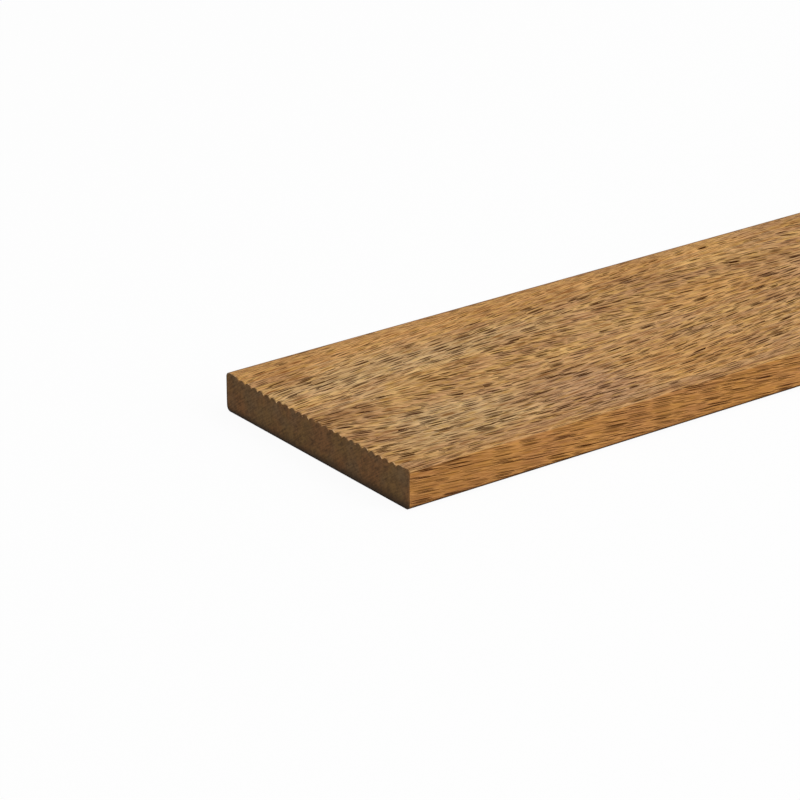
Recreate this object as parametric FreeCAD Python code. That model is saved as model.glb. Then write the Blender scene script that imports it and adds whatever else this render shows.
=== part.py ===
import FreeCAD, Part
import math
import os

# Reeded hardwood decking board, one moulded piece of timber in a stock length.
# The section is carried straight along the board: a flat underside, rounded arrises, and an upper
# face of fine rounded reeds that stand between two plain margins. The ends are sawn square.
# X runs along the board, Y across it and Z up. The origin is the middle of the underside.

# Driving dimensions, in millimetres
LENGTH = 1800.0
WIDTH = 140.0
THICKNESS = 19.0  # underside to the plain margins
UPPER_ARRIS_RADIUS = 2.0  # eased corner beside the reeded face
LOWER_ARRIS_RADIUS = 2.5  # pencil round beside the underside
PLAIN_MARGIN = 10.0  # least distance from a long edge to the nearest groove
REED_PITCH = 5.0  # groove to groove
GROOVE_DEPTH = 1.5  # reed crest to groove bottom
GROOVE_ROOT_RADIUS = 0.3  # hollow along the bottom of each groove
CREST_DROP = 0.4  # how far the reed crests lie below the margins

# Reed and root arcs are tangent, so their centres lie ARC_SUM apart, which the groove's depth sets
HALF_PITCH = REED_PITCH / 2
ARC_SUM = (HALF_PITCH**2 + GROOVE_DEPTH**2) / (2 * GROOVE_DEPTH)
REED_RADIUS = ARC_SUM - GROOVE_ROOT_RADIUS
CREST_Z = THICKNESS - CREST_DROP
REED_CENTRE_Z = CREST_Z - REED_RADIUS
ROOT_CENTRE_Z = CREST_Z - GROOVE_DEPTH + GROOVE_ROOT_RADIUS

# The shoulder beside the outermost groove has the reeds' radius and runs out level with the margin
SHOULDER_RISE = GROOVE_DEPTH + CREST_DROP
SHOULDER_RUN = math.sqrt(SHOULDER_RISE * (2 * ARC_SUM - SHOULDER_RISE))
SHOULDER_CENTRE_Z = THICKNESS - REED_RADIUS

# As many grooves as fit between the margins, centred on the board
ROUNDING = 1e-9
REED_COUNT = math.floor((WIDTH - 2 * PLAIN_MARGIN) / REED_PITCH + ROUNDING)
GROOVES_Y = [(i - REED_COUNT / 2) * REED_PITCH for i in range(REED_COUNT + 1)]


def at(y, z):
    """A point of the section, which is drawn on the board's near end."""
    return FreeCAD.Vector(-LENGTH / 2, y, z)


def line(start, end):
    return Part.LineSegment(start, end).toShape()


def arc(centre, start, end):
    """The shorter arc about centre from start to end."""
    outwards = (start - centre) + (end - centre)
    outwards.normalize()
    middle = centre + outwards * (start - centre).Length
    return Part.Arc(start, middle, end).toShape()


def tangent_point(crest_centre, root_centre):
    """Where a crest's arc runs into the root arc beside it."""
    return crest_centre + (root_centre - crest_centre) * (REED_RADIUS / ARC_SUM)


def reeded_face():
    """The upper face's edges between the margins, from -Y to +Y: shoulder, roots and reeds, shoulder."""
    first = GROOVES_Y[0] - SHOULDER_RUN
    last = GROOVES_Y[-1] + SHOULDER_RUN
    roots = [at(y, ROOT_CENTRE_Z) for y in GROOVES_Y]
    reeds = [at(y + HALF_PITCH, REED_CENTRE_Z) for y in GROOVES_Y[:-1]]
    crests = [at(first, SHOULDER_CENTRE_Z), *reeds, at(last, SHOULDER_CENTRE_Z)]
    edges = []
    start = at(first, THICKNESS)
    for root, before, after in zip(roots, crests[:-1], crests[1:]):
        into_root = tangent_point(before, root)
        out_of_root = tangent_point(after, root)
        edges.append(arc(before, start, into_root))
        edges.append(arc(root, into_root, out_of_root))
        start = out_of_root
    edges.append(arc(crests[-1], start, at(last, THICKNESS)))
    return edges


def plain_side(side):
    """One long edge's outline from the reeded face down to the underside. side is +1 at +Y and -1 at -Y."""
    edge_y = side * WIDTH / 2
    top_y = side * (WIDTH / 2 - UPPER_ARRIS_RADIUS)
    low_y = side * (WIDTH / 2 - LOWER_ARRIS_RADIUS)
    reeds_end = at(side * (GROOVES_Y[-1] + SHOULDER_RUN), THICKNESS)
    top_inner = at(top_y, THICKNESS)
    top_outer = at(edge_y, THICKNESS - UPPER_ARRIS_RADIUS)
    low_outer = at(edge_y, LOWER_ARRIS_RADIUS)
    low_inner = at(low_y, 0)
    return [
        line(reeds_end, top_inner),
        arc(at(top_y, THICKNESS - UPPER_ARRIS_RADIUS), top_inner, top_outer),
        line(top_outer, low_outer),
        arc(at(low_y, LOWER_ARRIS_RADIUS), low_outer, low_inner),
    ]


def decking_board():
    """The board's section, carried along its length."""
    underside = line(at(WIDTH / 2 - LOWER_ARRIS_RADIUS, 0), at(LOWER_ARRIS_RADIUS - WIDTH / 2, 0))
    outline = [*reeded_face(), *plain_side(+1), underside, *plain_side(-1)]
    section = Part.Face(Part.Wire(Part.__sortEdges__(outline)))
    return section.extrude(FreeCAD.Vector(LENGTH, 0, 0))


def main():
    board = decking_board()
    print(f"decking_board: valid {board.isValid()}, {len(board.Faces)} faces, {board.Volume / 1e3:.1f} cm3")
    print(f"{len(GROOVES_Y)} grooves, reed radius {REED_RADIUS:.3f}, shoulder run {SHOULDER_RUN:.3f}")
    os.makedirs("parts", exist_ok=True)
    board.exportStep("parts/decking_board.step")


main()
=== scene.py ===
# %% [markdown]
# # A reeded decking board
# The real thing is one length of dense brown hardwood that has been through a moulder: the knives
# leave a flat underside, four rounded arrises and an upper face of fine reeds between two plain margins.
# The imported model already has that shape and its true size, so it is loaded first and everything else
# takes its place and size from it.

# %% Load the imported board
import math

import bpy
import numpy as np
from mathutils import Matrix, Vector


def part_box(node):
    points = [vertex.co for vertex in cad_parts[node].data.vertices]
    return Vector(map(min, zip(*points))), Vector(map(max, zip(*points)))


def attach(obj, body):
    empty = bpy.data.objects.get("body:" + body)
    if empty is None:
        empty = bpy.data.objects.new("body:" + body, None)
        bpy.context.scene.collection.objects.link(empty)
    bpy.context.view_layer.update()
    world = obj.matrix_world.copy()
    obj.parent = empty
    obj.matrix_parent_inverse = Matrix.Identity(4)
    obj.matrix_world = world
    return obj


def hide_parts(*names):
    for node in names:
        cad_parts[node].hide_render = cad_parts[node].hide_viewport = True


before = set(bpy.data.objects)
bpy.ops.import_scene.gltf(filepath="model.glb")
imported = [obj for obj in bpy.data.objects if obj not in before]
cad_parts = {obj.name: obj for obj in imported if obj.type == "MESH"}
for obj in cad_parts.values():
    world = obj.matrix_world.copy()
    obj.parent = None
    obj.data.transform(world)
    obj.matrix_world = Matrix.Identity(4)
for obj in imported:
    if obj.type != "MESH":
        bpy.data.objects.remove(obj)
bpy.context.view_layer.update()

NODE = "decking_board"
MM = 0.001  # the moulding is thought out in millimetres, and Blender works in metres
low, high = (np.array(corner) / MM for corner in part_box(NODE))
LENGTH, WIDTH, THICKNESS = high - low
print(f"board {LENGTH:.0f} x {WIDTH:.0f} x {THICKNESS:.0f} mm")

# %% [markdown]
# ## The moulded section
# One cutter block makes the whole upper face in a single pass, so every reed is the same: a round
# crest that runs into a small hollow at the bottom of the groove. Both are circles that touch, and the
# shoulder beside the last groove has the reed's radius too. Seen from the end, the upper face is simply
# a height for each place across the board. A height is easy to work out for a whole array of places
# at once, which is why the section is written as a function of y and not as a list of points.

# %% Section sizes, in millimetres
UPPER_ARRIS = 2.0
LOWER_ARRIS = 2.5
PLAIN_MARGIN = 10.0
REED_PITCH = 5.0
GROOVE_DEPTH = 1.5
ROOT_RADIUS = 0.3
CREST_DROP = 0.4

HALF_PITCH = REED_PITCH / 2
ARC_SUM = (HALF_PITCH**2 + GROOVE_DEPTH**2) / (2 * GROOVE_DEPTH)
REED_RADIUS = ARC_SUM - ROOT_RADIUS
CREST_Z = THICKNESS - CREST_DROP
ROOT_CENTRE_Z = CREST_Z - GROOVE_DEPTH + ROOT_RADIUS
SHOULDER_RISE = GROOVE_DEPTH + CREST_DROP
SHOULDER_RUN = math.sqrt(SHOULDER_RISE * (2 * ARC_SUM - SHOULDER_RISE))
REED_COUNT = int((WIDTH - 2 * PLAIN_MARGIN) / REED_PITCH + 0.01)
OUTER_GROOVE = REED_COUNT * HALF_PITCH


def arris_fall(y, radius):
    """How far the arris circle has fallen at y: nothing up to its start, its whole radius at the edge."""
    over = np.clip(np.abs(y) - (WIDTH / 2 - radius), 0, radius)
    return radius - np.sqrt(radius**2 - over**2)


def top_height(y):
    """Height of the upper face at y across the board, both in millimetres.

    Between the outermost grooves, t is the way from the nearest groove. Close to it the height is the root
    circle's lower side, and beyond the point where the circles touch it is the reed circle's upper side.
    Outside them t runs on from the outermost groove up the shoulder circle to the level margin, and the
    last of the way falls off along the arris circle.
    """
    away = np.abs(y)
    phase = np.mod(away + OUTER_GROOVE, REED_PITCH)
    inside = away <= OUTER_GROOVE
    t = np.where(inside, np.minimum(phase, REED_PITCH - phase), away - OUTER_GROOVE)
    run = np.where(inside, HALF_PITCH, SHOULDER_RUN)
    crest = np.where(inside, CREST_Z, THICKNESS)
    root = ROOT_CENTRE_Z - np.sqrt(np.clip(ROOT_RADIUS**2 - t**2, 0, None))
    short = np.clip(run - t, 0, None)
    reed = crest - REED_RADIUS + np.sqrt(np.clip(REED_RADIUS**2 - short**2, 0, None))
    moulded = np.where(t < ROOT_RADIUS * run / ARC_SUM, root, reed)
    return moulded - arris_fall(y, UPPER_ARRIS)


def under_height(y):
    """Height of the underside at y: level, and rising along the arris circle at either edge."""
    return arris_fall(y, LOWER_ARRIS)


print(f"{REED_COUNT} reeds of radius {REED_RADIUS:.2f} mm, shoulder {SHOULDER_RUN:.2f} mm wide")

# %% [markdown]
# ## Columns across and stations along
# The section is carried along the board on a grid. Columns crowd into the grooves and round the
# arrises, where the section turns fastest, and a cosine spaces them like that by itself. Stations crowd
# at the two ends, where the saw has torn the reeds a little, and are far apart in the straight middle.

# %% Columns and stations
STEPS_PER_HALF_REED = 5
ARRIS_STEPS = 5
SIDE_ROWS = 9
MIDDLE_STATIONS = 112
END_ZONE = 40.0
END_STATIONS = 20
END_CROWDING = 2.2  # draws these stations towards the cut


def cosine_steps(run, steps):
    """Places from 0 to run, crowded at 0: run times one minus the cosine of an angle that grows evenly."""
    return run * (1 - np.cos(np.linspace(0, np.pi / 2, steps + 1)))


half_reed = cosine_steps(HALF_PITCH, STEPS_PER_HALF_REED)
one_reed = np.concatenate([half_reed, REED_PITCH - half_reed[-2:0:-1]])
grooves = np.arange(REED_COUNT) * REED_PITCH - OUTER_GROOVE
reed_columns = (grooves[:, None] + one_reed).ravel()
shoulder_columns = OUTER_GROOVE + cosine_steps(SHOULDER_RUN, STEPS_PER_HALF_REED)
arris_turn = 1 - np.sin(np.linspace(0, np.pi / 2, ARRIS_STEPS + 1))
arris_columns = WIDTH / 2 - np.concatenate([UPPER_ARRIS * arris_turn, LOWER_ARRIS * arris_turn])
outer_columns = np.concatenate([shoulder_columns, arris_columns])
across = np.unique(np.round(np.concatenate([reed_columns, outer_columns, -outer_columns]), 6))

end_steps = END_ZONE * np.linspace(0, 1, END_STATIONS) ** END_CROWDING
middle = np.linspace(END_ZONE, LENGTH - END_ZONE, MIDDLE_STATIONS)[1:-1]
along = np.concatenate([end_steps, middle, LENGTH - end_steps[::-1]])
print(f"{len(across)} columns across, {len(along)} stations along")

# %% [markdown]
# ## What the saw did to the ends
# A crosscut saw tears brittle wood out where it leaves the cut, so a few reeds have lost a chip at the
# very end, and the cut face is ribbed by the teeth. Both are fractions of a millimetre, but they break up
# the row of reed ends against the light wood behind. They are drawn from a seeded random generator,
# so every run gives the same board.

# %% Torn reed ends
TEAR_SPACING, NOTCH_SPACING, FRAY_SPACING = 3.1, 0.7, 0.5
TEAR_FROM = 0.55  # from 0 to 1: the higher, the fewer tears
TEAR_DOWN, FRAY_DOWN = 1.5, 0.10
TEAR_BACK, FRAY_BACK = 1.1, 0.22
TEAR_LENGTH = 2.2
CHIPPED_Y, CHIPPED_HALF = 34.0, 8.0  # where the photographed end has lost most
CHIP_SPACING, CHIP_DOWN, CHIP_BACK = 1.3, 0.8, 0.5
SEED = 7
dice = np.random.default_rng(SEED)


def wander(places, spacing):
    """A smooth random line between 0 and 1: even random heights, spacing apart, joined by a cosine ease."""
    knots = dice.random(int(np.ptp(places) / spacing) + 3)
    at = (places - places.min()) / spacing
    i = at.astype(int)
    ease = (1 - np.cos(np.pi * (at - i))) / 2
    return knots[i] * (1 - ease) + knots[i + 1] * ease


def end_damage():
    """For one end: how deep each column's upper edge is torn down and how far back, in millimetres. It is
    torn where a slow random line rises past a level, as deep as a quick one says, and frayed everywhere."""
    tear = np.clip(wander(across, TEAR_SPACING) - TEAR_FROM, 0, None) * wander(across, NOTCH_SPACING)
    fray = wander(across, FRAY_SPACING) ** 2
    return TEAR_DOWN * tear + FRAY_DOWN * fray, TEAR_BACK * tear + FRAY_BACK * fray


near_down, near_back = end_damage()
far_down, far_back = end_damage()
chipped = np.exp(-(((across - CHIPPED_Y) / CHIPPED_HALF) ** 2)) * wander(across, CHIP_SPACING)
near_down += CHIP_DOWN * chipped
near_back += CHIP_BACK * chipped


def torn(down, distance):
    """How much lower the upper face is, per station and column: the tear's depth, fading with the way from
    the end."""
    return down * np.exp(-((distance[:, None] / TEAR_LENGTH) ** 2))


loss = torn(near_down, along) + torn(far_down, LENGTH - along)
print(f"deepest tear {loss.max():.2f} mm")

# %% [markdown]
# ## The board as one closed surface
# Around the section the grid runs along the underside, up one edge, back across the reeds and down the
# other edge. Two more grids, with a column for every column of the section, close the sawn ends. They
# share the section's own vertices along their rims, so the surface has no gap anywhere.

# %% Build the mesh arrays
SAW_RIB = 0.05
SAW_RIB_SPACING = 1.7
SAW_RIB_SLANT = 0.12
TEAR_FADE = 0.8  # how far down the cut face a tear reaches
ROW_CROWDING = 0.7  # draws an end's rows towards the upper face

columns, stations = len(across), len(along)
side_z = np.linspace(LOWER_ARRIS, THICKNESS - UPPER_ARRIS, SIDE_ROWS + 2)[1:-1]
side_y = np.full(SIDE_ROWS, WIDTH / 2)
ring_y = np.concatenate([across, side_y, across[::-1], -side_y])
ring_z = np.concatenate([under_height(across), side_z, top_height(across)[::-1], side_z[::-1]])
ring = len(ring_y)
top_of_ring = np.arange(2 * columns + SIDE_ROWS - 1, columns + SIDE_ROWS - 1, -1)

skin = np.empty((stations, ring, 3))
skin[..., 0] = along[:, None] - LENGTH / 2
skin[..., 1] = ring_y
skin[..., 2] = ring_z
skin[:, top_of_ring, 2] -= loss


def end_grid(station):
    """Numbers of one end's grid of vertices, column by column from the underside up: the rim is the skin's
    own ring at that station, and minus one marks the inner vertices, which are new."""
    start = station * ring
    grid = np.full((columns, SIDE_ROWS + 2), -1)
    grid[:, 0] = start + np.arange(columns)
    grid[:, -1] = start + top_of_ring
    grid[-1, 1:-1] = start + columns + np.arange(SIDE_ROWS)
    grid[0, 1:-1] = start + 2 * columns + SIDE_ROWS + np.arange(SIDE_ROWS)[::-1]
    return grid


def end_places(station, back, sign):
    """Places of an end's whole grid: straight lines from underside to upper face, ribbed by the saw and torn
    back near the top. sign is -1 at the near end and +1 at the far one."""
    rise = np.linspace(0, 1, SIDE_ROWS + 2) ** ROW_CROWDING
    bottom = under_height(across)
    top = skin[station, top_of_ring, 2]
    z = bottom[:, None] + (top - bottom)[:, None] * rise
    ribs = (across[:, None] + SAW_RIB_SLANT * z) / SAW_RIB_SPACING
    rib = SAW_RIB * (0.5 + 0.5 * np.sin(2 * np.pi * ribs))
    recess = rib + back[:, None] * np.exp(-((top[:, None] - z) / TEAR_FADE) ** 2)
    y = np.broadcast_to(across[:, None], z.shape)
    return np.stack([sign * (LENGTH / 2 - recess), y, z], axis=-1)


def cell_corners(grid):
    """What a grid holds at the four corners of each of its cells, in turn round the cell."""
    cells = [grid[:-1, :-1], grid[1:, :-1], grid[1:, 1:], grid[:-1, 1:]]
    return np.stack(cells, axis=2).reshape(-1, 4, *grid.shape[2:])


places = [skin.reshape(-1, 3)]
skin_grid = np.arange(stations * ring).reshape(stations, ring)
skin_quads = cell_corners(np.concatenate([skin_grid, skin_grid[:, :1]], axis=1))
end_quads = []
count = stations * ring
for station, back, sign in ((0, near_back, -1), (stations - 1, far_back, +1)):
    grid = end_grid(station)
    at = end_places(station, back, sign)
    rim = grid >= 0
    at[0, 1:-1, 2] = side_z
    at[-1, 1:-1, 2] = side_z
    places[0][grid[rim]] = at[rim]
    inner = ~rim
    grid[inner] = count + np.arange(inner.sum())
    count += inner.sum()
    places.append(at[inner])
    faces = cell_corners(grid)
    end_quads.append(faces[:, ::-1] if sign < 0 else faces)

vertices = np.concatenate(places) * MM
faces = np.concatenate([skin_quads, *end_quads])
print(f"{len(vertices)} vertices, {2 * len(faces)} triangles")

# %% [markdown]
# ## A map that suits a long thin thing
# When the finish is baked to a picture, the board's own UV map says where each spot goes. The skin is
# unrolled as one strip: the length fills the picture's width, and the way round the section fills most of
# its height, so that pores a fraction of a millimetre wide still get a pixel of their own. The two ends lie
# side by side in what is left.

# %% Unroll the skin and lay out the ends
SKIN_SHARE = 0.86
END_SPAN = 0.44
END_LOW, END_HIGH = 0.90, 0.985
FAR_END_U = 0.5  # how much further right the far end lies
MAP_EDGE = 0.004

step_round = np.hypot(np.diff(ring_y, append=ring_y[0]), np.diff(ring_z, append=ring_z[0]))
round_way = np.concatenate([[0], np.cumsum(step_round)])
strip_u = MAP_EDGE + (1 - 2 * MAP_EDGE) * along / LENGTH
strip_v = MAP_EDGE + SKIN_SHARE * round_way / round_way[-1]
strip = np.stack(np.meshgrid(strip_u, strip_v, indexing="ij"), axis=-1)
end_u = MAP_EDGE + END_SPAN * (across + WIDTH / 2) / WIDTH
end_v = np.linspace(END_LOW, END_HIGH, SIDE_ROWS + 2)
end_map = cell_corners(np.stack(np.meshgrid(end_u, end_v, indexing="ij"), axis=-1))
unrolled = np.concatenate([cell_corners(strip), end_map[:, ::-1], end_map + (FAR_END_U, 0)])
print(f"skin {round_way[-1]:.0f} mm round")

# %% [markdown]
# ## A measure for the grain
# The pattern of the grain should run over every reed unbroken, so it needs to know how far round the section
# a spot lies. That way is 0 in the middle of the reeded face and grows towards +Y, up and down the reeds. On
# the long edges it counts nearly double, because the grain is finer there. It is kept on the mesh as a
# number at every face corner, which the finish reads by name.

# %% Make the board object
MAP_NAME = "OFBake"
WAY_NAME = "way_round"
EDGE_FINER = 1.8
SHARP_DEGREES = 50  # the reeds stay smooth, and the sawn ends get a crisp rim

finer = np.where(np.abs(ring_y) > WIDTH / 2 - UPPER_ARRIS, EDGE_FINER, 1.0)
grain_way = np.concatenate([[0], np.cumsum(step_round * finer)])
grain_way = grain_way[top_of_ring[columns // 2]] - grain_way
skin_way = cell_corners(np.tile(grain_way, (stations, 1)))
way_round = np.concatenate([skin_way, np.zeros((2 * len(end_map), 4))])
mesh = bpy.data.meshes.new("reeded_board")
mesh.from_pydata(vertices.tolist(), [], faces.tolist())
mesh.uv_layers.new(name=MAP_NAME).uv.foreach_set("vector", unrolled.astype(np.float32).ravel())
way = mesh.attributes.new(WAY_NAME, "FLOAT", "CORNER")
way.data.foreach_set("value", way_round.astype(np.float32).ravel())
is_end = np.arange(len(faces)) >= len(skin_quads)
mesh.polygons.foreach_set("use_smooth", np.ones(len(faces), bool))
mesh.polygons.foreach_set("material_index", is_end.astype(np.int32))
mesh.set_sharp_from_angle(angle=math.radians(SHARP_DEGREES))
mesh.validate()
board = bpy.data.objects.new("reeded_board", mesh)
bpy.context.scene.collection.objects.link(board)
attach(board, "root")
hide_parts(NODE)
print("ends", int(is_end.sum()), "faces, skin", int((~is_end).sum()))

# %% [markdown]
# ## Tools for the finishes
# Colours are picked as a screen shows them, in sRGB hex, and Blender reckons in linear light, so one
# function turns one into the other. Another small function adds a node: it sets what the node is told,
# joins what it is given and hands back the output to go on with.

# %% Colour and node helpers
def linear(hex_colour):
    """An sRGB hex colour as linear red, green, blue and alpha."""
    srgb = np.array([int(hex_colour[i : i + 2], 16) for i in (1, 3, 5)]) / 255
    light = np.where(srgb <= 0.04045, srgb / 12.92, ((srgb + 0.055) / 1.055) ** 2.4)
    return (*light, 1.0)


def node(tree, kind, inputs, give=0, **settings):
    """Adds one node and returns its output called give. kind is the node's type, less the ShaderNode that
    all of them start with. inputs maps a socket's name or number to a value, or to another node's output,
    which is then linked."""
    made = tree.nodes.new("ShaderNode" + kind)
    for name, value in settings.items():
        setattr(made, name, value)
    for socket, value in inputs.items():
        if isinstance(value, bpy.types.NodeSocket):
            tree.links.new(value, made.inputs[socket])
        else:
            made.inputs[socket].default_value = value
    return made.outputs[give]


MIX_A, MIX_B = 6, 7  # the Mix node's colour sockets
COLOUR_MIX = {"give": 2, "data_type": "RGBA"}
SMOOTH = {"interpolation_type": "SMOOTHSTEP"}
print("golden brown is", np.round(linear("#b98a4e"), 3))

# %% [markdown]
# ## Following the leaning fibres
# This timber has interlocked grain: its fibres don't run true to the length. Most lean a little one way, a
# band that slants along the board leans the other way, and round the photographed corner they run nearly
# true. A pattern can't just be turned by an angle that differs from place to place, because far from the
# origin it would shear apart. So the length is cut into short bays, and within each bay the pattern is slid
# sideways in proportion to the way from the bay's middle. Two rows of bays, half a bay apart, fade into each
# other, so no bay's edge shows. On the long edges the lean is the same everywhere, and no bays are needed.
# Leans are sideways steps for each step along. Across the reeded face they count the way round the reeds,
# a fifth more than the way across.

# %% Coordinates along the fibres
BAY = 24.0
LEAN_MOST = 0.07
LEAN_BAND = -0.17
BAND_SPACING = 130.0
BAND_SHARPNESS = 5.6
BAND_START_Y = -17.0
BAND_RISE = 0.19
LEAN_STRAY = 0.09
STRAY_LENGTH, STRAY_WIDTH = 60.0, 22.0
LEAN_EDGE = -0.16  # on the long edges
LEAN_CORNER = -0.13  # by the photographed corner, where the fibres run nearly true
CORNER_FROM_END, CORNER_Y = 20.0, -65.0
CORNER_FULL, CORNER_REACH = 40.0, 200.0
CORNER_SQUAT = 2.4  # how much narrower than long that place is
EDGE_CALM, CALM_LEAN = 6.0, 0.4  # this near the long edges the lean falls to this share
WEAR_RUN, WEAR_SWING = 40.0, 1.0  # how long and how large the upper arris's uneven places are
EDGE_FROM, EDGE_FULL = 0.1, 0.75  # where on the arris the edge's finish takes over, in arris radii
OTHER_ROW = 500.0  # far enough off that the two rows of bays share no pores


def board_millimetres(tree):
    """The place on the board in millimetres, from Object coordinates."""
    place = node(tree, "TexCoord", {}, "Object")
    return node(tree, "VectorMath", {0: place, "Scale": 1 / MM}, operation="SCALE")


def stretched(tree, place, length, width, height=1.0):
    """The place measured in cells of this length, width and height, in millimetres."""
    cell = (1 / length, 1 / width, 1 / height)
    return node(tree, "VectorMath", {0: place, 1: cell}, operation="MULTIPLY")


def grain_lean(tree, place):
    """How far the fibres go sideways for each step along: the usual lean, plus the band's, plus a slow
    noise, plus the corner's, and less of it all near the long edges.

    The band is half of one plus a cosine, raised to a power to narrow it, over the way across its slant. The
    corner's lean fades with the way from a point by the photographed corner.
    """
    along_board = node(tree, "SeparateXYZ", {0: place}, "X")
    across_board = along_board.node.outputs["Y"]
    slant = node(tree, "Math", {0: along_board, 1: -BAND_RISE, 2: across_board}, operation="MULTIPLY_ADD")
    start = BAND_START_Y + BAND_RISE * LENGTH / 2
    slant = node(tree, "Math", {0: slant, 1: start}, operation="SUBTRACT")
    turn = node(tree, "Math", {0: slant, 1: 2 * math.pi / BAND_SPACING}, operation="MULTIPLY")
    wave = node(tree, "Math", {0: turn}, operation="COSINE")
    band = node(tree, "Math", {0: wave, 1: 0.5, 2: 0.5}, operation="MULTIPLY_ADD")
    band = node(tree, "Math", {0: band, 1: BAND_SHARPNESS}, operation="POWER")
    lean = {0: band, 1: LEAN_BAND, 2: LEAN_MOST - LEAN_STRAY / 2}
    lean = node(tree, "Math", lean, operation="MULTIPLY_ADD")
    slow = stretched(tree, place, STRAY_LENGTH, STRAY_WIDTH, STRAY_WIDTH)
    stray = node(tree, "TexNoise", {"Vector": slow, "Scale": 1.0, "Detail": 1.0})
    lean = node(tree, "Math", {0: stray, 1: LEAN_STRAY, 2: lean}, operation="MULTIPLY_ADD")
    corner = (CORNER_FROM_END - LENGTH / 2, CORNER_Y, THICKNESS)
    corner = node(tree, "VectorMath", {0: place, 1: corner}, operation="SUBTRACT")
    squat = node(tree, "VectorMath", {0: corner, 1: (1.0, CORNER_SQUAT, 0.0)}, operation="MULTIPLY")
    way = node(tree, "VectorMath", {0: squat}, "Value", operation="LENGTH")
    truer = node(tree, "MapRange", {0: way, 1: CORNER_REACH, 2: CORNER_FULL, 3: 0.0, 4: LEAN_CORNER})
    lean = node(tree, "Math", {0: lean, 1: truer}, operation="ADD")
    away = node(tree, "Math", {0: across_board}, operation="ABSOLUTE")
    calm = node(tree, "MapRange", {0: away, 1: WIDTH / 2, 2: WIDTH / 2 - EDGE_CALM, 3: CALM_LEAN, 4: 1.0})
    return node(tree, "Math", {0: lean, 1: calm}, operation="MULTIPLY")


def arris_turn_mm(tree, place):
    """How far round the upper arris a place lies, in millimetres: the way outwards from where the arris
    starts, less the height above where it ends. It is minus the radius at the reeded face, nothing halfway
    and the radius at the long edge. A slow noise shifts it, because no arris is worn evenly."""
    x = node(tree, "SeparateXYZ", {0: place}, "X")
    y, z = x.node.outputs["Y"], x.node.outputs["Z"]
    away = node(tree, "Math", {0: y}, operation="ABSOLUTE")
    turn = node(tree, "Math", {0: away, 1: z}, operation="SUBTRACT")
    start = WIDTH / 2 - THICKNESS + WEAR_SWING / 2
    turn = node(tree, "Math", {0: turn, 1: start}, operation="SUBTRACT")
    slow = node(tree, "Math", {0: x, 1: 1 / WEAR_RUN}, operation="MULTIPLY")
    wear = node(tree, "TexNoise", {"W": slow, "Scale": 1.0}, noise_dimensions="1D")
    return node(tree, "Math", {0: wear, 1: WEAR_SWING, 2: turn}, operation="MULTIPLY_ADD")


def outer_edge(tree, turn):
    """0 on the reeded face and 1 on the long edges, eased over the outer half of the upper arris."""
    ease = {0: turn, 1: EDGE_FROM * UPPER_ARRIS, 2: EDGE_FULL * UPPER_ARRIS}
    return node(tree, "MapRange", ease, **SMOOTH)


def bay_weight(tree, bay):
    """1 in the middle of a bay and 0 at its ends, from a place counted in bays."""
    share = node(tree, "Math", {0: bay, 1: 0.5}, operation="PINGPONG")
    return node(tree, "Math", {0: share, 1: 2.0}, operation="MULTIPLY")


def fibre_coordinates(tree, place, edge, row):
    """Place along and across the fibres in one row of bays, and the bay's weight there. The slide is the way
    to the bay's middle times the lean there. On the long edges the lean is the same everywhere, so there the
    slide is counted from the board's middle, and no bay can cut a dash."""
    x = node(tree, "SeparateXYZ", {0: place}, "X")
    around = node(tree, "Attribute", {}, "Fac", attribute_name=WAY_NAME)
    bay = node(tree, "Math", {0: x, 1: 1 / BAY, 2: 0.5 * row}, operation="MULTIPLY_ADD")
    share = node(tree, "Math", {0: bay}, operation="FRACT")
    reach = node(tree, "Math", {0: share, 1: -BAY, 2: BAY / 2}, operation="MULTIPLY_ADD")
    middle = node(tree, "CombineXYZ", {0: reach})
    middle = node(tree, "VectorMath", {0: place, 1: middle}, operation="ADD")
    lean = grain_lean(tree, middle)
    slid = node(tree, "Math", {0: reach, 1: lean, 2: around}, operation="MULTIPLY_ADD")
    even = node(tree, "Math", {0: x, 1: -LEAN_EDGE, 2: around}, operation="MULTIPLY_ADD")
    beyond = node(tree, "Math", {0: edge, 1: 0.5}, operation="GREATER_THAN")
    slid = node(tree, "Mix", {0: beyond, 2: slid, 3: even})
    apart = node(tree, "Math", {0: slid, 1: OTHER_ROW * row}, operation="ADD")
    fibres = node(tree, "CombineXYZ", {0: x, 1: apart})
    return fibres, bay_weight(tree, bay)


print(f"bays {BAY:.0f} mm long, bands {BAND_SPACING:.0f} mm apart")

# %% [markdown]
# ## Vessels and fibre streaks
# The vessels of this wood are wide enough to see: cut lengthwise they are short dark dashes, 4 to 10 mm
# long, and each lies in a sheath of paler tissue. A dash is one cell of a Voronoi pattern that is stretched
# along the fibres: a place belongs to it if it lies close enough to the cell's centre, and to the sheath if
# it lies a little farther out. Real vessels are a third of a millimetre wide, less than the photograph can
# hold, so they are drawn wider. Between them a stretched noise gives the streaks of darker and paler fibre.

# %% Vessels and streaks
PORE_CELL = (15.0, 0.95)  # along and across the fibres, in millimetres
PORE_SCATTER = 0.85
PORE_SMALL, PORE_LARGE = 0.20, 0.44  # in cells
PORE_CORE, SHEATH_REACH = 0.7, 2.4  # in vessel radii
FAINTEST_FACE, FAINTEST_EDGE = -2.0, -0.4  # the chance at which a vessel would vanish
STREAK_CELL = (15.0, 0.48)


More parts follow.
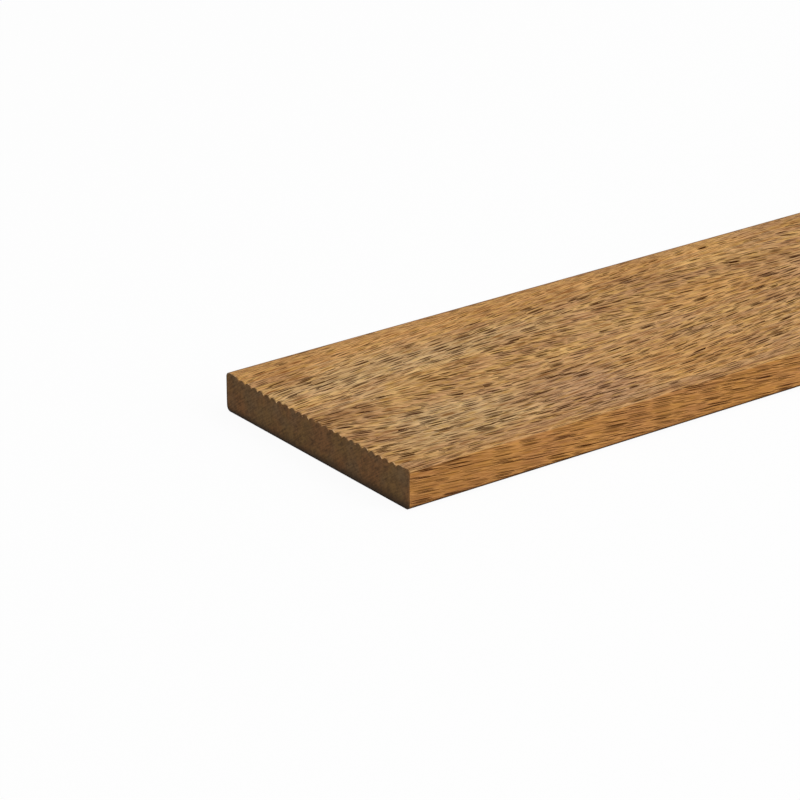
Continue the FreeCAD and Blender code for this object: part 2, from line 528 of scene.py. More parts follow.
def pore_dashes(tree, fibres, row, crowd, edge):
    """How dark a vessel's dash is and how pale the sheath around it, both from 0 outside: the way to the
    nearest cell centre, over a radius that differs from cell to cell and grows where pores crowd. A cell
    shows if the bay's weight at its centre is above a chance of its own, so that its dash stays whole and
    both rows of bays together always have as many. Another chance says how dark it is, and on the long
    edges more of them are faint."""
    cells = stretched(tree, fibres, *PORE_CELL)
    cells = {"Vector": cells, "Scale": 1.0, "Randomness": PORE_SCATTER}
    way = node(tree, "TexVoronoi", cells, "Distance", voronoi_dimensions="2D")
    chance = node(tree, "SeparateColor", {0: way.node.outputs["Color"]}, "Red")
    centre = node(tree, "SeparateXYZ", {0: way.node.outputs["Position"]}, "X")
    bay = node(tree, "Math", {0: centre, 1: PORE_CELL[0] / BAY, 2: 0.5 * row}, operation="MULTIPLY_ADD")
    shows = {0: bay_weight(tree, bay), 1: chance.node.outputs["Blue"]}
    shows = node(tree, "Math", shows, operation="GREATER_THAN")
    radius = node(tree, "MapRange", {0: chance, 3: PORE_SMALL, 4: PORE_LARGE})
    radius = node(tree, "Math", {0: radius, 1: crowd}, operation="MULTIPLY")
    ratio = node(tree, "Math", {0: way, 1: radius}, operation="DIVIDE")
    faintest = node(tree, "MapRange", {0: edge, 3: FAINTEST_FACE, 4: FAINTEST_EDGE})
    depth = node(tree, "MapRange", {0: chance.node.outputs["Green"], 1: faintest})
    depth = node(tree, "Math", {0: depth, 1: shows}, operation="MULTIPLY")
    inside = node(tree, "MapRange", {0: ratio, 1: 1.0, 2: PORE_CORE}, **SMOOTH)
    around = node(tree, "MapRange", {0: ratio, 1: SHEATH_REACH, 2: 1.0}, **SMOOTH)
    dash = node(tree, "Math", {0: inside, 1: depth}, operation="MULTIPLY")
    sheath = node(tree, "Math", {0: around, 1: depth}, operation="MULTIPLY")
    return dash, sheath


def fibre_streaks(tree, rows):
    """Lighter and darker fibre, about 0 on average. Two rows of noise are mixed by weight, and the mix is
    divided by the root of one minus twice the product of the weights, which keeps its contrast even."""
    noises = []
    for fibres, _ in rows:
        fine = stretched(tree, fibres, *STREAK_CELL)
        fine = {"Vector": fine, "Scale": 1.0, "Detail": 2.0, "Roughness": 0.6}
        noises.append(node(tree, "TexNoise", fine, noise_dimensions="2D"))
    near, far = rows[0][1], rows[1][1]
    mixed = node(tree, "Mix", {0: far, 2: noises[0], 3: noises[1]})
    swing = node(tree, "Math", {0: mixed, 1: 0.5}, operation="SUBTRACT")
    both = node(tree, "Math", {0: near, 1: far}, operation="MULTIPLY")
    spread = node(tree, "Math", {0: both, 1: -2.0, 2: 1.0}, operation="MULTIPLY_ADD")
    spread = node(tree, "Math", {0: spread}, operation="SQRT")
    return node(tree, "Math", {0: swing, 1: spread}, operation="DIVIDE")


print(f"pore cells {PORE_CELL} mm, streaks {STREAK_CELL} mm")

# %% [markdown]
# ## Zones of colour
# Under the dashes the wood drifts from golden to rosy over a few centimetres, with larger pale, greyish
# patches and deeper ones, and in places the vessels crowd. Noise makes all of that along the whole board.
# Near the photographed end the largest zones and clusters are listed one by one: each is a soft ellipse
# whose rim the same noise frays.

# %% Colour zones
ZONE_CELL = (30.0, 7.0, 7.0)
PATCH_CELL = (120.0, 45.0, 45.0)
CROWD_CELL = (34.0, 11.0, 11.0)
NOISE_LOW, NOISE_HIGH = 0.38, 0.62  # most of a noise lies between these
BUSY_FROM, BUSY_FULL = 0.38, 0.75
GREYED_FROM, GREYED_FULL, GREYED_MOST = 0.52, 0.70, 0.6
DEEP_FROM, DEEP_FULL, DEEP_MOST = 0.48, 0.30, 0.7
ZONE_FRAY = 0.9
ZONE_RIM, ZONE_CORE, ZONE_MOST = 1.65, 0.85, 0.75
GOLDEN = "#e8bb77"
ROSY = "#daac78"
GREYED = "#e4c38f"
DEEP = "#be905e"
ORANGE = "#e1ad6a"
PINK = "#cea178"
DUSKY = "#c29660"
# colour, way from the near end, place across, half length, half width, in millimetres
PLACED = (
    (ORANGE, 90.0, 62.0, 260.0, 14.0),
    (GREYED, 75.0, 32.0, 100.0, 13.0),
    (DEEP, 10.0, -2.0, 26.0, 11.0),
    (GREYED, 52.0, -36.0, 46.0, 26.0),
    (PINK, 122.0, -44.0, 36.0, 30.0),
    (ORANGE, 188.0, -44.0, 44.0, 28.0),
    (ORANGE, 245.0, 14.0, 46.0, 16.0),
    (DUSKY, 18.0, -74.0, 60.0, 5.0),
    (GOLDEN, 185.0, -74.0, 44.0, 5.0),
)
# where pores crowd: the same without a colour
CLUSTERS = (
    (57.0, -30.0, 13.0, 5.0),
    (48.0, -52.0, 15.0, 5.0),
    (82.0, -38.0, 12.0, 6.0),
    (76.0, -14.0, 14.0, 5.0),
    (94.0, 15.0, 14.0, 5.0),
    (125.0, -20.0, 16.0, 7.0),
    (200.0, -16.0, 18.0, 6.0),
    (191.0, 28.0, 15.0, 6.0),
)


def placed_zone(tree, place, fray, x, y, length, width):
    """Most in the middle of a placed zone and 0 outside: the way from its middle, in half lengths and half
    widths, frayed by a noise and eased."""
    middle = (x - LENGTH / 2, y, 0.0)
    off = node(tree, "VectorMath", {0: place, 1: middle}, operation="SUBTRACT")
    off = node(tree, "VectorMath", {0: off, 1: (1 / length, 1 / width, 0.0)}, operation="MULTIPLY")
    way = node(tree, "VectorMath", {0: off}, "Value", operation="LENGTH")
    way = node(tree, "Math", {0: fray, 1: ZONE_FRAY, 2: way}, operation="MULTIPLY_ADD")
    ease = {0: way, 1: ZONE_RIM, 2: ZONE_CORE, 3: 0.0, 4: ZONE_MOST}
    return node(tree, "MapRange", ease, **SMOOTH)


def busy_places(tree, place):
    """0 where vessels are few and 1 where they crowd: a noise all along the board, and the largest clusters
    of the photographed end, listed one by one."""
    slow = stretched(tree, place, *CROWD_CELL)
    slow = node(tree, "TexNoise", {"Vector": slow, "Scale": 1.0, "Detail": 2.0})
    busy = node(tree, "MapRange", {0: slow, 1: BUSY_FROM, 2: BUSY_FULL})
    for where in CLUSTERS:
        share = placed_zone(tree, place, slow, *where)
        busy = node(tree, "Math", {0: busy, 1: share}, operation="MAXIMUM")
    return busy


def zone_colour(tree, place):
    """The wood's slow colour, and the noise from 0 golden to 1 rosy that it starts from."""
    zone = stretched(tree, place, *ZONE_CELL)
    zone = node(tree, "TexNoise", {"Vector": zone, "Scale": 1.0, "Detail": 2.0})
    rosy = node(tree, "MapRange", {0: zone, 1: NOISE_LOW, 2: NOISE_HIGH})
    colours = {0: rosy, MIX_A: linear(GOLDEN), MIX_B: linear(ROSY)}
    wood = node(tree, "Mix", colours, **COLOUR_MIX)
    patch = stretched(tree, place, *PATCH_CELL)
    patch = node(tree, "TexNoise", {"Vector": patch, "Scale": 1.0, "Detail": 2.0})
    greyed = node(tree, "MapRange", {0: patch, 1: GREYED_FROM, 2: GREYED_FULL, 3: 0.0, 4: GREYED_MOST})
    deep = node(tree, "MapRange", {0: patch, 1: DEEP_FROM, 2: DEEP_FULL, 3: 0.0, 4: DEEP_MOST})
    layers = [(greyed, GREYED), (deep, DEEP)]
    layers += [(placed_zone(tree, place, zone, *where), colour) for colour, *where in PLACED]
    for share, colour in layers:
        colours = {0: share, MIX_A: wood, MIX_B: linear(colour)}
        wood = node(tree, "Mix", colours, **COLOUR_MIX)
    return wood, rosy


print(len(PLACED), "placed zones,", len(CLUSTERS), "clusters")

# %% [markdown]
# ## Tints by place, with painted light and shade
# The planed edges and the underside have a richer, more orange colour than the reeded face, partly their
# own and partly standing in for the sheen that pales the reeded face. The crests carry a trace of painted
# shade. The upper arris has a painted highlight, and a line of painted shade marks where it leaves the
# reeded face. Near the ends a dark crack of lifted fibre runs below it. The lower arris is darkened with
# painted contact shade, and at the sawn ends the reeds have a rim of painted shade with pale chips in it.

# %% Tints by place
CREST_FROM, CREST_FULL = 0.9, 0.1  # below the crests
MARGIN_FROM, MARGIN_FULL = 0.1, 0.4  # in shares of the way from the last groove to the edge
# how much of the painted crest shade and of the richer edge tint the level margins take
MARGIN_CREST_SHADE, MARGIN_RICH = 0.3, 0.3
UNDER_FROM, UNDER_FULL = 2.0, 1.0
# how strong the upper arris's painted highlight is
ARRIS_HIGHLIGHT = 0.08
# a line of painted shade where the upper arris leaves the reeded face: place, width and strength
INNER_LINE, INNER_WIDTH, INNER_DARK = 1.9, 0.9, 0.7
LINE_CORE = 0.1
CRACK_BELOW, CRACK_FALL, CRACK_WIDTH, CRACK_LENGTH, CRACK_DARK = 1.2, 0.02, 0.5, 42.0, 0.7
# painted contact shade along the lower arris: heights, easing round the arris, and strength
LOW_SHADE_FROM, LOW_SHADE_FULL, LOW_SHADE_EASE, LOW_SHADE_MOST = 2.0, 1.2, 0.5, 0.85
RIM_RUN, RIM_DARK = 0.8, 0.6  # how far in the painted shade on the sawn rim reaches, and how dark
CHIP_SIZE, CHIP_FROM, CHIP_FULL = 2.2, 0.55, 0.65
# painted shade on the reed crests, so the flanks read lighter than the crests
CREST_SHADE = "#efedea"
# pale chips at the sawn rim, and the colour of the upper arris's painted highlight
PALE_CHIP_AND_HIGHLIGHT = "#d8b283"
# the edges' own richer colour, which also stands in for the sheen that pales the reeded face
EDGE_TINT = "#f2dcbc"
# painted shade along the inner edge of the upper arris, at the front and, darker, at the back
ARRIS_SHADE = "#b5a18b"
BACK_ARRIS_SHADE = "#87715c"
CRACK = "#5a3513"
# painted contact shade on the lower arris
LOWER_ARRIS_SHADE = "#352415"
# painted shade on the reeds' sawn rim
RIM_SHADE = "#5e4329"


def tinted_by_place(tree, place, turn, edge, wood):
    """The colour wood, tinted by where on the section it is: crests darkened with painted shade, edges and
    underside richer, partly their own colour and partly for the sheen that pales the reeded face, upper
    arris a trace paler as a painted highlight, with a line of painted shade inside it and a crack below it,
    lower arris darkened with painted contact shade, and the reeds' sawn rim darkened with painted shade,
    with pale chips. turn is the way round the upper arris."""
    x = node(tree, "SeparateXYZ", {0: place}, "X")
    y, z = x.node.outputs["Y"], x.node.outputs["Z"]
    end = node(tree, "Math", {0: x}, operation="ABSOLUTE")
    end = node(tree, "Math", {0: LENGTH / 2, 1: end}, operation="SUBTRACT")
    away = node(tree, "Math", {0: y}, operation="ABSOLUTE")
    margin = node(tree, "MapRange", {0: away, 1: OUTER_GROOVE, 2: WIDTH / 2})

    # painted shade on the crests, less of it on the level margins
    crest = node(tree, "MapRange", {0: z, 1: CREST_Z - CREST_FROM, 2: CREST_Z - CREST_FULL})
    crest_shade = node(tree, "MapRange", {0: margin, 1: MARGIN_FROM, 2: MARGIN_FULL, 3: 1.0, 4: MARGIN_CREST_SHADE})
    crest_shade = node(tree, "Math", {0: crest, 1: crest_shade}, operation="MULTIPLY")

    # edges and underside richer: partly their own colour, partly painted in for the sheen that pales the
    # reeded face
    under = node(tree, "MapRange", {0: z, 1: UNDER_FROM, 2: UNDER_FULL})
    rich = node(tree, "Math", {0: margin, 1: MARGIN_RICH}, operation="MULTIPLY")
    rich = node(tree, "Math", {0: rich, 1: edge}, operation="MAXIMUM")
    rich = node(tree, "Math", {0: rich, 1: under}, operation="MAXIMUM")

    # painted highlight along the middle of the upper arris
    halfway = node(tree, "Math", {0: turn}, operation="ABSOLUTE")
    arris = node(tree, "MapRange", {0: halfway, 1: UPPER_ARRIS / 2, 2: 0.0, 3: 0.0, 4: ARRIS_HIGHLIGHT})

    # a line of painted shade where the arris leaves the reeded face, darker at the back edge
    inner = node(tree, "Math", {0: turn, 1: INNER_LINE}, operation="ADD")
    inner = node(tree, "Math", {0: inner}, operation="ABSOLUTE")
    inner = node(tree, "MapRange", {0: inner, 1: INNER_WIDTH, 2: LINE_CORE, 3: 0.0, 4: INNER_DARK})
    back = node(tree, "Math", {0: y, 1: 0.0}, operation="GREATER_THAN")
    colours = {0: back, MIX_A: linear(ARRIS_SHADE), MIX_B: linear(BACK_ARRIS_SHADE)}
    shade = node(tree, "Mix", colours, **COLOUR_MIX)

    off = node(tree, "Math", {0: end, 1: CRACK_FALL, 2: z}, operation="MULTIPLY_ADD")
    off = node(tree, "Math", {0: off, 1: THICKNESS - CRACK_BELOW}, operation="SUBTRACT")
    off = node(tree, "Math", {0: off}, operation="ABSOLUTE")
    line = node(tree, "MapRange", {0: off, 1: CRACK_WIDTH, 2: LINE_CORE})
    run = node(tree, "MapRange", {0: end, 1: CRACK_LENGTH, 2: CRACK_LENGTH / 2, 3: 0.0, 4: CRACK_DARK})
    line = node(tree, "Math", {0: line, 1: run}, operation="MULTIPLY")
    line = node(tree, "Math", {0: line, 1: edge}, operation="MULTIPLY")

    # painted contact shade along the lower arris
    low = node(tree, "MapRange", {0: z, 1: LOW_SHADE_FROM, 2: LOW_SHADE_FULL, 3: 0.0, 4: LOW_SHADE_MOST})
    start = WIDTH / 2 - LOWER_ARRIS
    outer = node(tree, "MapRange", {0: away, 1: start - LOW_SHADE_EASE, 2: start + LOW_SHADE_EASE})
    low = node(tree, "Math", {0: low, 1: outer}, operation="MULTIPLY")

    # the reeds' sawn rim, darkened with painted shade, with pale chips in it
    chip = node(tree, "TexNoise", {"Vector": place, "Scale": 1 / CHIP_SIZE})
    chip = node(tree, "MapRange", {0: chip, 1: CHIP_FROM, 2: CHIP_FULL})
    colours = {0: chip, MIX_A: linear(RIM_SHADE), MIX_B: linear(PALE_CHIP_AND_HIGHLIGHT)}
    rim = node(tree, "Mix", colours, **COLOUR_MIX)
    sawn = node(tree, "MapRange", {0: end, 1: RIM_RUN, 2: RIM_RUN / 2})
    much = node(tree, "MapRange", {0: edge, 3: RIM_DARK, 4: 0.0})
    sawn = node(tree, "Math", {0: sawn, 1: much}, operation="MULTIPLY")

    layers = (
        (crest_shade, linear(CREST_SHADE), "MULTIPLY"),
        (rich, linear(EDGE_TINT), "MULTIPLY"),
        (arris, linear(PALE_CHIP_AND_HIGHLIGHT), "MIX"),
        (inner, shade, "MULTIPLY"),
        (line, linear(CRACK), "MIX"),
        (low, linear(LOWER_ARRIS_SHADE), "MIX"),
        (sawn, rim, "MIX"),
    )
    for share, colour, blend in layers:
        colours = {0: share, MIX_A: wood, MIX_B: colour}
        wood = node(tree, "Mix", colours, **COLOUR_MIX, blend_type=blend)
    return wood


print("crack", CRACK_BELOW, "mm below the upper face")

# %% [markdown]
# ## The long-grain finish
# The wood is a red-brown hardwood, planed and not oiled. Its colour is built as the eye takes it in: first
# the slow zones, a trace of mauve where vessels crowd, then streaks of darker fibre, which leave the pale
# sheaths out, then yellow flecks of gum, then the vessels, then the tints by place. Open vessels are dull,
# hold the light and lie a little deeper than the wood around them, so they also drive roughness, shine and
# bump.

# %% Long grain
FEW_SIZE, CROWD_SIZE, EDGE_SIZE = 0.95, 1.18, 1.4  # vessel sizes, against the usual one
QUIET_FROM, QUIET_TO, QUIET_SIZE = 42.0, 56.0, 0.7  # towards the back edge the vessels are finer
STREAK_SWING, EDGE_STREAK, SHEATH_STREAK = 0.11, 0.35, 0.2
MAUVE_FACE, MAUVE_EDGE = 0.6, 0.2
FLECK_CELL = (13.0, 3.5)
FLECK_RIM, FLECK_CORE, FLECK_MOST = 0.34, 0.08, 0.3
PLANED_ROUGH, PORE_ROUGH = 0.6, 0.85
SHINE_FROM, SHINE_FULL, SHINE_MOST = 1.0, 2.6, 0.12  # heights: the lower arris, darkened with painted shade, stays dull
PORE_SHINE = 0.15
STREAK_RELIEF = 1.5
BUMP_DEPTH = 0.15 * MM
MAUVE = "#d2c2b2"
FIBRE_SHADE = "#a2896a"
PORE = "#3a1a04"
ROSY_PORE = "#3a1c12"
GUM = "#cda14c"


def planed_hardwood():
    """Planed dense hardwood: satin at most, with open dark pores that take the shine away."""
    material = bpy.data.materials.new("planed_hardwood")
    material.use_nodes = True
    tree = material.node_tree
    shader = tree.nodes["Principled BSDF"]
    place = board_millimetres(tree)
    turn = arris_turn_mm(tree, place)
    edge = outer_edge(tree, turn)

    busy = busy_places(tree, place)
    y = node(tree, "SeparateXYZ", {0: place}, "Y")
    quiet = node(tree, "MapRange", {0: y, 1: QUIET_FROM, 2: QUIET_TO, 3: 1.0, 4: QUIET_SIZE})
    crowd = node(tree, "MapRange", {0: busy, 3: FEW_SIZE, 4: CROWD_SIZE})
    crowd = node(tree, "Math", {0: crowd, 1: quiet}, operation="MULTIPLY")
    more = node(tree, "MapRange", {0: edge, 3: 1.0, 4: EDGE_SIZE})
    crowd = node(tree, "Math", {0: crowd, 1: more}, operation="MULTIPLY")
    rows = [fibre_coordinates(tree, place, edge, row) for row in (0, 1)]
    dashes = [pore_dashes(tree, rows[row][0], row, crowd, edge) for row in (0, 1)]
    pores = node(tree, "Math", {0: dashes[0][0], 1: dashes[1][0]}, operation="MAXIMUM")
    sheath = node(tree, "Math", {0: dashes[0][1], 1: dashes[1][1]}, operation="MAXIMUM")
    calm = node(tree, "MapRange", {0: edge, 3: 1.0, 4: EDGE_STREAK})
    streak = node(tree, "Math", {0: fibre_streaks(tree, rows), 1: calm}, operation="MULTIPLY")

    wood, rosy = zone_colour(tree, place)
    tint = node(tree, "MapRange", {0: edge, 3: MAUVE_FACE, 4: MAUVE_EDGE})
    tint = node(tree, "Math", {0: busy, 1: tint}, operation="MULTIPLY")
    dark = node(tree, "MapRange", {0: streak, 1: STREAK_SWING, 2: -STREAK_SWING})
    pale = node(tree, "MapRange", {0: sheath, 3: 1.0, 4: SHEATH_STREAK})
    dark = node(tree, "Math", {0: dark, 1: pale}, operation="MULTIPLY")
    fleck = stretched(tree, rows[0][0], *FLECK_CELL)
    fleck = node(tree, "TexVoronoi", {"Vector": fleck, "Scale": 1.0}, "Distance", voronoi_dimensions="2D")
    fleck = node(tree, "MapRange", {0: fleck, 1: FLECK_RIM, 2: FLECK_CORE, 3: 0.0, 4: FLECK_MOST})
    colours = {0: rosy, MIX_A: linear(PORE), MIX_B: linear(ROSY_PORE)}
    hollow = node(tree, "Mix", colours, **COLOUR_MIX)
    layers = (
        (tint, linear(MAUVE), "MULTIPLY"),
        (dark, linear(FIBRE_SHADE), "MULTIPLY"),
        (fleck, linear(GUM), "MIX"),
        (pores, hollow, "MIX"),
    )
    for share, colour, blend in layers:
        colours = {0: share, MIX_A: wood, MIX_B: colour}
        wood = node(tree, "Mix", colours, **COLOUR_MIX, blend_type=blend)
    wood = tinted_by_place(tree, place, turn, edge, wood)

    rough = node(tree, "MapRange", {0: pores, 3: PLANED_ROUGH, 4: PORE_ROUGH})
    height = node(tree, "SeparateXYZ", {0: place}, "Z")
    dull = node(tree, "MapRange", {0: height, 1: SHINE_FROM, 2: SHINE_FULL, 3: 0.0, 4: SHINE_MOST})
    shine = node(tree, "MapRange", {0: pores, 3: 1.0, 4: PORE_SHINE})
    shine = node(tree, "Math", {0: dull, 1: shine}, operation="MULTIPLY")
    relief = node(tree, "Math", {0: streak, 1: STREAK_RELIEF}, operation="MULTIPLY")
    relief = node(tree, "Math", {0: relief, 1: pores}, operation="SUBTRACT")
    bumps = node(tree, "Bump", {"Height": relief, "Strength": 0.4, "Distance": BUMP_DEPTH})
    tree.links.new(wood, shader.inputs["Base Color"])
    tree.links.new(rough, shader.inputs["Roughness"])
    shader.inputs["Specular IOR Level"].default_value = 0.1
    tree.links.new(shine, shader.inputs["Specular IOR Level"])
    tree.links.new(bumps, shader.inputs["Normal"])
    shader.inputs["IOR"].default_value = 1.5
    return material


board.data.materials.append(planed_hardwood())
print("finish:", board.data.materials[0].name)

# %% [markdown]
# ## Sawn end grain
# At the ends the same vessels are cut across. Light falls into them and is lost, so end grain is always
# darker than the sides, dull, and only faintly mottled. Its colour drifts between a red, an olive and a grey
# brown. Painted shade darkens it towards the lower edge, most along the lower and back edges.

# %% End grain
MOTTLE = 1.6
BLOTCH = 13.0
STROKE = (1.0, 7.0, 0.7)  # the saw's strokes: through, along and across them
STROKE_TILT = math.radians(-35)
END_SHADE_FAR, END_SHADE_NEAR = 3.5, 6.5  # how high the painted shade reaches at the back edge and at the front edge
END_SHADE_MOST = 0.85
GREY_FROM, GREY_FULL, GREY_MOST = 0.48, 0.66, 0.7
CUT_FROM, CUT_FULL, CUT_MOST = 0.42, 0.66, 0.8
# painted shade in a band along the lower and back edges
LOW_FROM, LOW_FULL, LOW_MOST = 1.2, 0.3, 0.8  # heights
BACK_FROM, BACK_FULL, BACK_MOST = 1.3, 0.4, 0.6  # ways from the back edge
RED_BROWN = "#825b37"
OLIVE_BROWN = "#7c5d36"
GREY_BROWN = "#755d41"
CUT_VESSEL = "#402c1a"
# painted shade: towards the bottom, and along the lower and back edges
END_LOW_SHADE = "#33261b"
END_EDGE_SHADE = "#1e140c"


def sawn_end_grain():
    """The same wood sawn across: dull dark brown, mottled by cut vessels, faintly scored by the saw,
    blotched by slow changes of colour, and darkened with painted shade below and at the back edge."""
    material = bpy.data.materials.new("sawn_end_grain")
    material.use_nodes = True
    tree = material.node_tree
    shader = tree.nodes["Principled BSDF"]
    place = board_millimetres(tree)
    y = node(tree, "SeparateXYZ", {0: place}, "Y")
    height = y.node.outputs["Z"]
    mottle = node(tree, "TexNoise", {"Vector": place, "Scale": 1 / MOTTLE, "Detail": 4.0})
    strokes = {"Vector": place, "Rotation": (STROKE_TILT, 0.0, 0.0), "Scale": STROKE}
    strokes = node(tree, "Mapping", strokes, vector_type="TEXTURE")
    strokes = node(tree, "TexNoise", {"Vector": strokes, "Scale": 1.0, "Detail": 2.0})
    mottle = node(tree, "Mix", {0: 0.5, 2: mottle, 3: strokes})
    blotch = node(tree, "TexNoise", {"Vector": place, "Scale": 1 / BLOTCH, "Detail": 2.0}, "Color")
    drift = node(tree, "SeparateColor", {0: blotch}, "Red")
    olive = node(tree, "MapRange", {0: drift, 1: NOISE_LOW, 2: NOISE_HIGH})
    colours = {0: olive, MIX_A: linear(RED_BROWN), MIX_B: linear(OLIVE_BROWN)}
    wood = node(tree, "Mix", colours, **COLOUR_MIX)
    grey = {0: drift.node.outputs["Green"], 1: GREY_FROM, 2: GREY_FULL, 3: 0.0, 4: GREY_MOST}
    grey = node(tree, "MapRange", grey)
    cut = node(tree, "MapRange", {0: mottle, 1: CUT_FROM, 2: CUT_FULL, 3: 0.0, 4: CUT_MOST})

    # painted shade, reaching higher towards the front edge, and a darker band of it along the lower and back
    # edges
    stands = node(tree, "MapRange", {0: y, 1: WIDTH / 2, 2: -WIDTH / 2, 3: END_SHADE_FAR, 4: END_SHADE_NEAR})
    low_shade = node(tree, "Math", {0: height, 1: stands}, operation="DIVIDE")
    low_shade = node(tree, "MapRange", {0: low_shade, 1: 1.0, 2: 0.0, 3: 0.0, 4: END_SHADE_MOST}, **SMOOTH)
    low = node(tree, "MapRange", {0: height, 1: LOW_FROM, 2: LOW_FULL, 3: 0.0, 4: LOW_MOST})
    outer = {0: y, 1: WIDTH / 2 - BACK_FROM, 2: WIDTH / 2 - BACK_FULL, 3: 0.0, 4: BACK_MOST}
    outer = node(tree, "MapRange", outer)
    rim = node(tree, "Math", {0: low, 1: outer}, operation="MAXIMUM")

    for share, colour in ((grey, GREY_BROWN), (cut, CUT_VESSEL), (low_shade, END_LOW_SHADE), (rim, END_EDGE_SHADE)):
        colours = {0: share, MIX_A: wood, MIX_B: linear(colour)}
        wood = node(tree, "Mix", colours, **COLOUR_MIX)
    bumps = node(tree, "Bump", {"Height": mottle, "Strength": 0.3, "Distance": BUMP_DEPTH})
    tree.links.new(wood, shader.inputs["Base Color"])
    tree.links.new(bumps, shader.inputs["Normal"])
    shader.inputs["Roughness"].default_value = 0.85
    shader.inputs["IOR"].default_value = 1.45
    shader.inputs["Specular IOR Level"].default_value = 0.2
    return material


board.data.materials.append(sawn_end_grain())
print("finish:", board.data.materials[1].name)

# %% [markdown]
# ## Floor and white surround
# The board lies on a pale studio floor. What the camera and mirrors see of the floor and the sky is white,
# and what lights the board is a plain level, so its colours come out about as they are written. Part of
# the floor's look is left to real light, so the board keeps its shadow. From below the floor is clear, and
# it has an opening that the board covers, so that the underside gets some light and can be looked at too.

# %% Floor and world
FLOOR_REACH = 40.0  # in metres
OPENING_INSET = 6.0  # how far in from the board's outline the floor's opening starts, in millimetres
FLOOR_BELOW = 0.1  # a hair of air in millimetres, so that floor and underside don't lie in one plane
SHADOW_SHARE = 0.06
FILL_LIGHT = 0.30


def white_seen(tree):
    """1 for rays from the camera, off mirrors and through glass, 0 for light that only falls on things."""
    seen = node(tree, "LightPath", {}, "Is Camera Ray")
    path = seen.node.outputs
    for kind in ("Is Glossy Ray", "Is Transmission Ray"):
        seen = node(tree, "Math", {0: seen, 1: path[kind]}, operation="MAXIMUM")
    return seen


floor_mesh = bpy.data.meshes.new("floor")
square = np.array([(-1, -1, 0), (1, -1, 0), (1, 1, 0), (-1, 1, 0)])
opening = square * (np.array([LENGTH, WIDTH, 0]) / 2 - OPENING_INSET) * MM
corners = np.concatenate([square * FLOOR_REACH, opening])
corners[:, 2] = -FLOOR_BELOW * MM
sides = [(0, 1, 5, 4), (1, 2, 6, 5), (2, 3, 7, 6), (3, 0, 4, 7)]
floor_mesh.from_pydata(corners.tolist(), [], sides)
floor = bpy.data.objects.new("floor", floor_mesh)
bpy.context.scene.collection.objects.link(floor)

paint = bpy.data.materials.new("studio_white")
paint.use_nodes = True
tree = paint.node_tree
tree.nodes["Principled BSDF"].inputs["Base Color"].default_value = linear("#f4f4f4")
tree.nodes["Principled BSDF"].inputs["Roughness"].default_value = 0.9
glow = node(tree, "Emission", {"Color": linear("#ffffff"), "Strength": 1.0})
share = node(tree, "Math", {0: white_seen(tree), 1: 1 - SHADOW_SHARE}, operation="MULTIPLY")
lit = tree.nodes["Principled BSDF"].outputs[0]
mixed = node(tree, "MixShader", {0: share, 1: lit, 2: glow})
below = node(tree, "NewGeometry", {}, "Backfacing")
clear = node(tree, "BsdfTransparent", {})
mixed = node(tree, "MixShader", {0: below, 1: mixed, 2: clear})
tree.links.new(mixed, tree.nodes["Material Output"].inputs["Surface"])
floor_mesh.materials.append(paint)

world = bpy.data.worlds.new("studio")
bpy.context.scene.world = world
world.use_nodes = True
tree = world.node_tree
level = node(tree, "MapRange", {0: white_seen(tree), 3: FILL_LIGHT, 4: 1.0})
tree.links.new(level, tree.nodes["Background"].inputs["Strength"])
tree.nodes["Background"].inputs["Color"].default_value = linear("#ffffff")
print("floor and world made")

# %% [markdown]
# ## Lamps
# Two broad soft boxes: a large one overhead, and one in front and to the right that lights the long edge.
# Nothing stands to the left, so the sawn end facing that way stays in half shade.

# %% Soft boxes
OVERHEAD_WATTS, FRONT_WATTS = 55, 62


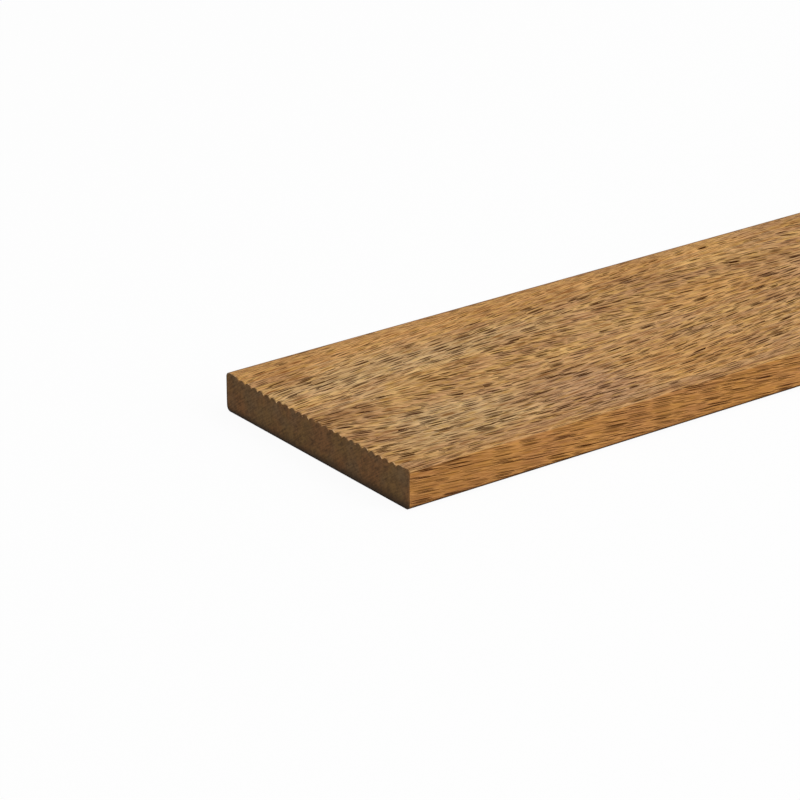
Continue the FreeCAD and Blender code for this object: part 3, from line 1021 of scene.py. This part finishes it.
def soft_box(name, place, target, size, watts):
    """A rectangular lamp at place, turned towards target. Sizes and places are in metres."""
    lamp = bpy.data.lights.new(name, "AREA")
    lamp.shape = "RECTANGLE"
    lamp.size, lamp.size_y = size
    lamp.energy = watts
    holder = bpy.data.objects.new(name, lamp)
    bpy.context.scene.collection.objects.link(holder)
    back = np.array(place, float) - np.array(target, float)
    back /= np.linalg.norm(back)
    right = np.cross((0, 1, 0), back)
    right /= np.linalg.norm(right)
    up = np.cross(back, right)
    turned = np.eye(4)
    turned[:3, 0], turned[:3, 1], turned[:3, 2], turned[:3, 3] = right, up, back, place
    holder.matrix_world = Matrix(turned.tolist())


soft_box("overhead", (-0.3, -0.6, 3.0), (-0.3, 0.0, 0.0), (4.0, 3.0), OVERHEAD_WATTS)
soft_box("front_right", (1.2, -2.8, 1.9), (-0.4, 0.0, 0.0), (2.5, 1.6), FRONT_WATTS)
print("two lamps")

# %% [markdown]
# ## Camera
# The photograph was taken with a long lens from above the near left corner. Where it stood comes from
# matching the near end's outline and the row of grooves. Places are in millimetres from the middle of the
# near end's lower edge.

# %% Camera
CAMERA_FROM_END = np.array([-857.4, -1221.0, 658.0])
CAMERA_AZIMUTH, CAMERA_ELEVATION, CAMERA_ROLL = (math.radians(a) for a in (-36.526, 22.892, -0.302))
IMAGE_WIDTH = 800
FOCAL_PIXELS = 3664.6

back = np.array([
    math.sin(CAMERA_AZIMUTH) * math.cos(CAMERA_ELEVATION),
    -math.cos(CAMERA_AZIMUTH) * math.cos(CAMERA_ELEVATION),
    math.sin(CAMERA_ELEVATION),
])
right = np.array([math.cos(CAMERA_AZIMUTH), math.sin(CAMERA_AZIMUTH), 0.0])
up = np.cross(back, right)
cosine, sine = math.cos(CAMERA_ROLL), math.sin(CAMERA_ROLL)
right, up = cosine * right + sine * up, cosine * up - sine * right
stand = np.eye(4)
stand[:3, 0], stand[:3, 1], stand[:3, 2] = right, up, back
stand[:3, 3] = (CAMERA_FROM_END + (-LENGTH / 2, 0, 0)) * MM
lens = bpy.data.cameras.new("photo_camera")
lens.sensor_width = 36.0
lens.lens = lens.sensor_width * FOCAL_PIXELS / IMAGE_WIDTH
camera = bpy.data.objects.new("photo_camera", lens)
bpy.context.scene.collection.objects.link(camera)
camera.matrix_world = Matrix(stand.tolist())
bpy.context.scene.camera = camera
bpy.context.scene.view_settings.view_transform = "Standard"
print(f"lens {lens.lens:.1f} mm")
